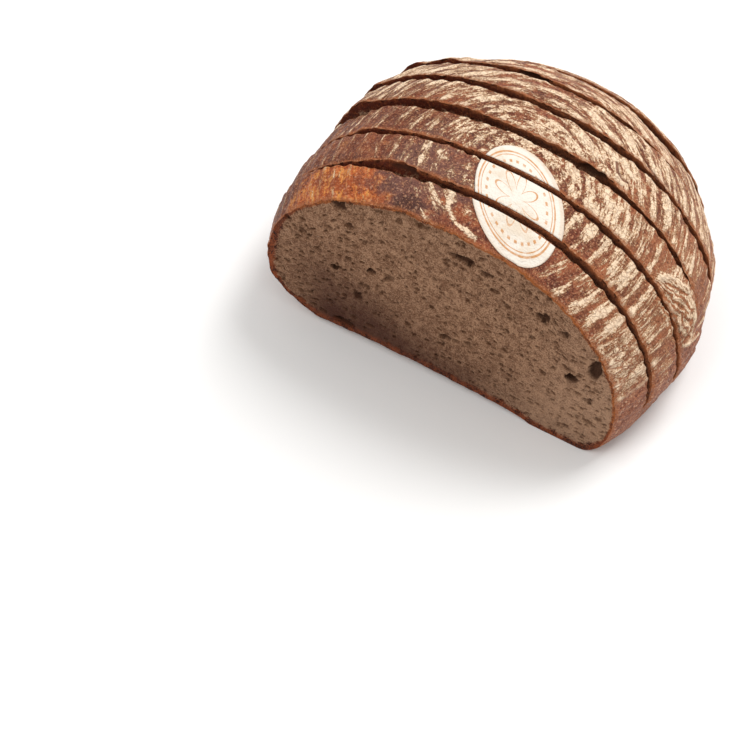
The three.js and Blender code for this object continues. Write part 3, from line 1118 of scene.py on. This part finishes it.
def crustMaterial(shared):
    material, tree, shader = newMaterial("baked crust")
    look = crustLook
    place = loafPlace(tree)
    x, y, z = splitVector(tree, place)
    flow = attribute(tree, "ringFlow", "Vector")
    amount, flaked, lip, crackled = [
        attribute(tree, name) for name in ("flourAmount", "flaked", "lip", "crackled")]
    drift, mottle, speckle = useGroup(tree, shared["tone"], {"Place": place, **look["tone"]})
    fine = noise(tree, place, 1.5, 2.0, 0.7)
    dusting = noise(tree, place, 2.8, 1.0)
    longStreaks = noise(tree, vectorCalc(tree, "MULTIPLY", flow, look["longStreaks"]), 1.0, 3.0, 0.6)
    shortStreaks = noise(tree, vectorCalc(tree, "MULTIPLY", flow, look["shortStreaks"]), 1.0, 2.0, 0.6)

    # brown, with a toasted front left, dusky left ends and two stained places
    brown = step(tree, -0.22, 0.2, (drift, 0.8), (mottle, 0.8), (speckle, 0.6))
    dusky = ramp(tree, noise(tree, place, 0.025, 2.0), 0.0, 0.12, 0.0, 0.5)
    tan = step(tree, 40.0, 95.0, (x, 1.0), (drift, 60.0), most=0.4)
    warm = step(tree, 0.0, 0.85, (attribute(tree, "warmth"), 1.0), (mottle, 1.2), (drift, 0.8),
                (shortStreaks, 0.3))
    toasted = step(tree, -0.2, 0.12, (mottle, 1.0), (speckle, 0.8), (drift, 0.8))
    toasted = mixColour(tree, toasted, look["toasted"], look["warm"])
    amber = step(tree, 0.15, 0.41, (shortStreaks, 0.6), (longStreaks, 0.8), (mottle, 0.9), (speckle, 0.6),
                 (x, -0.003))
    across = total(tree, (x, 1.0), (drift, 50.0))
    leftEnds = product(tree, ramp(tree, across, -8.0, -55.0, 0.0, 0.5), ramp(tree, y, 25.0, 28.0))
    leftEnds = largest(tree, leftEnds, ramp(tree, across, -68.0, -86.0, 0.0, 0.4))
    fromMauve = vectorCalc(tree, "DISTANCE", place, look["mauvePlace"])
    mauve = step(tree, 30.0, 12.0, (fromMauve, 1.0), (mottle, 30.0), (drift, 30.0), most=0.75)
    fromScorched = vectorCalc(tree, "DISTANCE", place, look["scorchedPlace"])
    scorched = step(tree, 9.0, 2.0, (fromScorched, 1.0), (mottle, 16.0), (speckle, 6.0), most=0.75)
    base = layered(
        tree, mixColour(tree, brown, look["dark"], look["brown"]),
        (dusky, look["dusky"]), (tan, look["tan"]), (warm, toasted),
        (product(tree, warm, amber), look["amber"]), (leftEnds, look["dusky"]),
        (mauve, look["mauve"]), (scorched, look["scorched"]))

    # the lower flank, which the flour missed, and the rims that the knife rubbed
    ragged = total(tree, (mottle, 34.0), (drift, 50.0), (longStreaks, 14.0))
    ragged = product(tree, ragged, ramp(tree, y, 12.0, 36.0, 0.35, 1.0))
    low = ramp(tree, calc(tree, "ADD", z, ragged), 46.0, 39.0)
    bare = step(tree, -0.2, 0.2, (mottle, 0.8), (speckle, 1.0), (fine, 0.8))
    bare = mixColour(tree, bare, look["bareDark"], look["bare"])
    blisters = useGroup(tree, shared["grains"], {"Place": place, **look["blisters"]})["Grain"]
    blisters = product(tree, blisters, total(tree, (low, 0.36), (1.0, 0.32)))
    rim = step(tree, 2.1, 0.3, (attribute(tree, "edgeNear"), 1.0), (mottle, 3.0))
    flecks = total(tree, (speckle, 1.0), (fine, 0.8))
    base = layered(
        tree, base,
        (product(tree, low, 0.8), bare), (product(tree, flaked, 0.4), look["tan"]),
        (blisters, look["blister"]), (product(tree, rim, 0.75), look["edge"]),
        (ramp(tree, flecks, 0.04, 0.22, 0.0, 0.62), look["light"]),
        (ramp(tree, flecks, -0.08, -0.26, 0.0, 0.68), look["deep"]))

    # flour lies in streaks along the rings, which fade in and out, crack and break into grains
    wave = useGroup(tree, shared["rings"], {
        "Place": place, "Flow": flow, "Pitch": reliefSizes["Ring Pitch"]})["Wave"]
    wave = product(tree, wave, ramp(tree, noise(tree, place, 0.045, 2.0), -0.14, 0.1, 0.35, 1.0))
    ridge = useGroup(tree, shared["wrinkles"], {
        "Place": place, "Fan": attribute(tree, "fan"), "Count": look["wrinkleCount"]})["Ridge"]
    dust = total(tree, (amount, 0.62), (wave, 0.3), (longStreaks, 1.5), (shortStreaks, 0.9),
                 (fine, 0.46), (dusting, 0.3), (mottle, 0.5), (1.0, 0.03))
    onCrackled = total(tree, (mottle, 1.2), (fine, 0.8), (dusting, 0.6), (longStreaks, 1.0), (1.0, 0.64))
    onFlakes = total(tree, (ridge, 0.75), (fine, 1.0), (dusting, 0.6), (mottle, 0.9), (1.0, 0.02))
    dust = total(tree, (dust, inverse(tree, crackled)), (onCrackled, crackled))
    dust = total(tree, (dust, inverse(tree, flaked)), (onFlakes, flaked), (lip, 0.7))
    cracks = useGroup(tree, shared["cracks"], {"Place": place, **look["cracks"]})["Crack"]
    drawn = vectorCalc(tree, "MULTIPLY", place, look["wideCrackDraw"])
    wideCracks = useGroup(tree, shared["cracks"], {"Place": drawn, **look["wideCracks"]})["Crack"]
    cracks = largest(tree, product(tree, cracks, 0.45), product(tree, wideCracks, crackled, 0.95))
    crease = ramp(tree, attribute(tree, "crease"), 0.3, 0.75)
    cover = product(tree, inverse(tree, low), inverse(tree, product(tree, rim, 0.8)))
    cover = product(tree, largest(tree, cover, lip), inverse(tree, product(tree, crease, 0.9)),
                    inverse(tree, cracks))
    grains = useGroup(tree, shared["grains"], {"Place": place, **look["grains"]})["Grain"]
    grains = product(tree, grains, step(tree, 0.08, 0.4, (amount, 1.0), (mottle, 1.6)))
    solid = product(tree, largest(tree, ramp(tree, dust, 0.47, 0.59), grains), cover)
    veil = product(tree, ramp(tree, dust, 0.26, 0.6, 0.0, 0.5), cover)
    cream = step(tree, 0.48, 0.76, (dust, 1.0), (fine, 0.6))
    cream = mixColour(tree, cream, look["flourShade"], look["flour"])
    # the creases lose their flour, and a painted shade darkens them
    base = layered(tree, base, (product(tree, crease, 0.6), look["dark"]), (veil, look["dust"]),
                   (product(tree, solid, 0.95), cream))
    link(tree, shader.inputs["Base Color"], base)
    link(tree, shader.inputs["Roughness"], total(tree, (solid, 0.34), (speckle, 0.3), (1.0, 0.52)))
    setBump(tree, shader, total(
        tree, (solid, 0.2), (speckle, 0.8), (fine, 0.5), (mottle, 0.6), (crease, -0.3),
        (cracks, -0.35), (product(tree, ridge, flaked), 0.5)))
    shader.inputs["Specular IOR Level"].default_value = look["specular"]
    return material


crumbLook = {
    "crumb": colour("6e4a33"),
    "pale": colour("af8668"),
    # painted shade of the crumb towards the base and the left end
    "baseShade": colour("421f15"),
    "dry": colour("b89377"),
    # painted shade inside the pores
    "pit": colour("482812"),
    # painted shade in the torn hollows and pockets
    "hollow": colour("452819"),
    "brown": colour("a65f30"),
    "dark": colour("64331f"),
    "russet": colour("8a4525"),
    "burnt": colour("34160c"),
    "inner": colour("94532f"),
    # painted shade deeper in the gaps
    "gapShadeLeft": colour("5a210d"),
    "gapShadeRight": colour("633722"),
    "tone": {"Drift": 0.03, "Mottle": 0.28, "Speckle": 1.5},
    "rimHighlightShares": {"large": 0.45, "small": 0.3},
    "pitShadeShares": {"large": 0.66, "small": 0.52, "tiny": 0.44},
    "pitBumps": {"tiny": -0.4, "small": -0.4},
    "roughness": 0.88,
    "specular": 0.2,
}


def crumbMaterial(shared):
    material, tree, shader = newMaterial("open crumb")
    look = crumbLook
    place = loafPlace(tree)
    x, _, z = splitVector(tree, place)
    grain = attribute(tree, "grain", "Vector")
    share = attribute(tree, "rimShare")
    drift, mottle, speckle = useGroup(tree, shared["tone"], {"Place": place, **look["tone"]})
    pores = {name: useGroup(tree, shared["pores"], {"Grain": grain, **size})
             for name, size in crumbPores.items()}

    def strongest(output, shares):
        return largest(tree, *(product(tree, pores[name][output], most) for name, most in shares.items()))

    # painted shade, darker towards the base and the left end; dry towards the right
    body = step(tree, -0.24, 0.28, (mottle, 0.8), (speckle, 1.4))
    body = mixColour(tree, body, look["crumb"], look["pale"])
    baseShade = step(tree, 50.0, -14.0, (z, 1.0), (x, 0.3), (drift, 40.0), most=0.95)
    baseShade = product(tree, baseShade, ramp(tree, x, -80.0, -52.0, 0.3, 1.0))
    dry = step(tree, 0.0, 75.0, (x, 1.0), (z, -0.5), (drift, 40.0), most=0.42)
    # painted highlight on the rims of the pores, and painted shade in the pits
    lip = product(tree, strongest("Lip", look["rimHighlightShares"]), inverse(tree, baseShade))
    pit = strongest("Pit", look["pitShadeShares"])
    body = layered(tree, body, (baseShade, look["baseShade"]), (dry, look["dry"]),
                   (lip, look["pale"]), (pit, look["pit"]))

    # the rind of the open cut is orange over the crown, redder and darker at the left end and below
    low = largest(tree, ramp(tree, z, 30.0, 14.0), ramp(tree, x, -62.0, -82.0))
    russet = mixColour(tree, low, look["brown"], look["russet"])
    rind = step(tree, -0.34, 0.06, (drift, 0.8), (mottle, 1.2), (speckle, 1.5), (low, -0.22))
    burnt = product(tree, low, step(tree, 0.0, -0.2, (speckle, 1.0), (mottle, 1.0)))
    rind = layered(tree, look["dark"], (rind, russet), (burnt, look["burnt"]))

    # the walls of the gaps between slices: brown crust at the rim, and deeper in a painted shade, darker and
    # redder to the left
    toRight = step(tree, -50.0, 30.0, (x, 1.0), (mottle, 60.0))
    nearRim = step(tree, 0.5, 0.0, (share, 1.0), (mottle, 0.6), (speckle, 0.6),
                   (ramp(tree, x, -10.0, -55.0), 0.3))
    flecks = total(tree, (noise(tree, place, 0.7, 2.0, 0.7), 1.0), (speckle, 0.7))
    inner = layered(
        tree, look["gapShadeLeft"], (toRight, look["gapShadeRight"]), (nearRim, look["inner"]),
        (ramp(tree, flecks, -0.02, -0.2, 0.0, 0.55), look["burnt"]),
        (ramp(tree, flecks, 0.06, 0.24, 0.0, 0.5), look["brown"]))

    ringed = step(tree, 1.3, 0.7, (share, 1.0), (mottle, 1.6), (speckle, 0.9))
    # painted shade in the torn hollows and crumb pockets, darker the deeper they are
    hollow = step(tree, 0.15, 2.2, (attribute(tree, "pressed"), 1.0), (speckle, 1.2), most=0.9)
    rind = mixColour(tree, attribute(tree, "openCut"), inner, rind)
    link(tree, shader.inputs["Base Color"], layered(tree, body, (ringed, rind), (hollow, look["hollow"])))
    shader.inputs["Roughness"].default_value = look["roughness"]
    shader.inputs["Specular IOR Level"].default_value = look["specular"]
    pits = [(product(tree, pores[name]["Pit"], pores[name]["Pit"]), rise)
            for name, rise in look["pitBumps"].items()]
    setBump(tree, shader, total(tree, *pits, (speckle, 1.0), (mottle, 0.4)))
    return material


# the wafer's print: a rosette inside beads and two rings, all as shares of the way to its edge
waferLook = {
    "paper": colour("e6dccf"),
    "ink": colour("c88f5c"),
    "edge": colour("c9a27a"),
    "worn": colour("d9c7b0"),
    "tone": {"Drift": 0.07, "Mottle": 0.3, "Speckle": 1.2},
    "rings": [(0.86, 0.022), (0.8, 0.012)],     # place and half width of each line
    "beadRing": (0.68, 0.035),
    "beadCount": 28.0,
    "petalTurns": 4.0,
    "petalFrom": 0.16,
    "petalLength": 0.34,
    "petalLine": 0.03,
    "roughness": 0.75,
}


def waferMaterial(shared):
    material, tree, shader = newMaterial("pressed wafer")
    look = waferLook
    place = loafPlace(tree)
    turned = put(tree, "ShaderNodeMapping", {
        "Vector": vectorCalc(tree, "SUBTRACT", place, (*wafer["middle"], 0.0)),
        "Rotation": (0.0, 0.0, -wafer["turn"])}, vector_type="POINT").outputs[0]
    along, aside, _ = splitVector(tree, turned)
    u = calc(tree, "DIVIDE", along, wafer["halfLength"])
    v = calc(tree, "DIVIDE", aside, wafer["halfWidth"])
    reach = calc(tree, "SQRT", calc(tree, "ADD", product(tree, u, u), product(tree, v, v)))
    turn = calc(tree, "ARCTAN2", v, u)
    drift, mottle, speckle = useGroup(tree, shared["tone"], {"Place": place, **look["tone"]})

    def line(middle, half):
        return ramp(tree, calc(tree, "ABSOLUTE", calc(tree, "SUBTRACT", reach, middle)), half, half * 0.5)

    petal = calc(tree, "ABSOLUTE", calc(tree, "COSINE", product(tree, turn, look["petalTurns"])))
    outline = calc(tree, "MULTIPLY_ADD", petal, look["petalLength"], look["petalFrom"])
    rosette = line(outline, look["petalLine"])
    beads = ramp(tree, calc(tree, "COSINE", product(tree, turn, look["beadCount"])), 0.0, 0.5)
    beads = product(tree, line(*look["beadRing"]), beads)
    ink = largest(tree, *(line(*ring) for ring in look["rings"]), rosette, beads)
    ink = product(tree, ink, ramp(tree, mottle, -0.2, 0.1, 0.5, 1.0))
    worn = step(tree, -0.05, 0.25, (drift, 1.0), (mottle, 0.6), most=0.8)
    edge = ramp(tree, reach, 0.95, 1.0, 0.0, 0.3)
    paper = layered(tree, look["paper"], (worn, look["worn"]), (edge, look["edge"]), (ink, look["ink"]))
    link(tree, shader.inputs["Base Color"], paper)
    shader.inputs["Roughness"].default_value = look["roughness"]
    setBump(tree, shader, total(tree, (speckle, 0.25), (mottle, 0.7)))
    return material


# one piece of the wafer: rows across its slice, each from edge to edge of the oval
def waferObject(index):
    middle = (0.0, sliceCuts["middleUp"])
    angles = np.linspace(*wafer["searchTurns"])
    thickness, margin, columns = sliceCuts["thickness"], wafer["margin"], wafer["columns"]
    rows = []
    for inset in np.linspace(margin, thickness - margin, int(thickness / wafer["rowStep"])):
        rim = rimPlaces(index, inset, angles, middle)
        inside = np.nonzero(waferShare(cutPoint(index, rim[:, 0], rim[:, 1], inset)) < 1.0)[0]
        if len(inside) > wafer["leastTurns"]:
            rows.append((inset, np.linspace(angles[inside[0]], angles[inside[-1]], columns)))
    layers = []
    for lift in (wafer["lift"], wafer["lift"] + wafer["thickness"]):
        for inset, picked in rows:
            rim = rimPlaces(index, inset, picked, middle)
            way = rim - np.array(middle)
            raised = rim + way / np.linalg.norm(way, axis=1)[:, None] * lift
            layers.append(cutPoint(index, raised[:, 0], raised[:, 1], inset))
    number = np.arange(len(rows) * columns).reshape(len(rows), columns)
    shift = number.size
    faces = []
    for grid in (number, number + shift):
        corners = (grid[:-1, :-1], grid[1:, :-1], grid[1:, 1:], grid[:-1, 1:])
        faces.extend(np.stack([c.ravel() for c in corners], axis=1).tolist())
    edge = np.concatenate([number[0, :-1], number[:-1, -1], number[-1, :0:-1], number[:0:-1, 0]])
    after = np.roll(edge, -1)
    faces.extend(np.stack([edge, after, after + shift, edge + shift], axis=1).tolist())
    item = newObject(f"wafer_piece_{index + 1}", toFrame(np.concatenate(layers), index), faces)
    faceOutward(item)
    return item


# stage: a pale floor, a soft light from behind, a weaker one in front, and the photograph's camera
stage = {
    "floorSize": 6.0,
    "floor": colour("f4f3f2"),
    "floorShade": colour("f0efed"),
    "floorRoughness": 0.9,
    "world": 0.68,
    # place, size and power
    "lights": {
        "key": ((0.35, 0.95, 1.5), 0.8, 24.0),
        "fill": ((-0.35, -0.95, 1.4), 0.7, 5.5),
    },
    "lightAim": (0.0, 0.0, 0.05),
    "cameraPlace": (195.6, -372.3, 600.0),
    "cameraAim": (-21.8, -12.7, 0.0),
    "lens": 76.8,
    "sensor": 36.0,
}


# hangs a light or a camera at a place, turned to its aim
def hang(name, data, place, aim):
    item = bpy.data.objects.new(name, data)
    item.location = place
    item.rotation_euler = (Vector(aim) - Vector(place)).to_track_quat("-Z", "Y").to_euler()
    scene.collection.objects.link(item)
    return item


def addFloor():
    half = stage["floorSize"] / 2
    corners = np.array([(-half, -half, 0), (half, -half, 0), (half, half, 0), (-half, half, 0)], float)
    floor = newObject("floor", corners, [[0, 1, 2, 3]])
    material, tree, shader = newMaterial("pale floor")
    where = tree.nodes.new("ShaderNodeTexCoord").outputs["Object"]
    shade = ramp(tree, noise(tree, where, 3.0), -0.3, 0.3)
    shade = mixColour(tree, shade, stage["floor"], stage["floorShade"])
    link(tree, shader.inputs["Base Color"], shade)
    shader.inputs["Roughness"].default_value = stage["floorRoughness"]
    floor.data.materials.append(material)


def addStage():
    addFloor()
    world = bpy.data.worlds.new("studio")
    world.use_nodes = True
    world.node_tree.nodes["Background"].inputs[0].default_value = (1.0, 1.0, 1.0, 1.0)
    world.node_tree.nodes["Background"].inputs[1].default_value = stage["world"]
    scene.world = world
    for name, (place, size, power) in stage["lights"].items():
        data = bpy.data.lights.new(name, "AREA")
        data.size = size
        data.energy = power
        hang(name, data, place, stage["lightAim"])
    data = bpy.data.cameras.new("camera")
    data.lens = stage["lens"]
    data.sensor_width = stage["sensor"]
    origin = np.array([sliceCuts["originX"], originY, 0.0])
    place, aim = [(np.array(stage[key]) - origin) * mm for key in ("cameraPlace", "cameraAim")]
    scene.camera = hang("camera", data, place, aim)
    scene.view_settings.view_transform = "Standard"
    print("stage set")


def dressLoaf():
    kind = "ShaderNodeTree"
    shared = {"tone": toneGroup(), "grains": grainGroup(), "cracks": crackGroup(),
              "pores": poreGroup(kind), "rings": ringGroup(kind), "wrinkles": wrinkleGroup(kind)}
    crust, crumb, paper = crustMaterial(shared), crumbMaterial(shared), waferMaterial(shared)
    surface = loafSurfaceTree()
    print("materials ready")
    for index in range(sliceCuts["count"]):
        item = sliceObject(index)
        runTree(item, surface, {**reliefSizes, "Crust": crust, "Crumb": crumb})
        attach(item, "root")
        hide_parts(f"slice_{index + 1}")
        print("slice", index + 1, "has", len(item.data.polygons), "faces")
    for index in range(wafer["slices"]):
        item = waferObject(index)
        item.data.materials.append(paper)
        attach(item, "root")
        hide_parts(f"wafer_{index + 1}")
    print("wafer laid")


addStage()
dressLoaf()
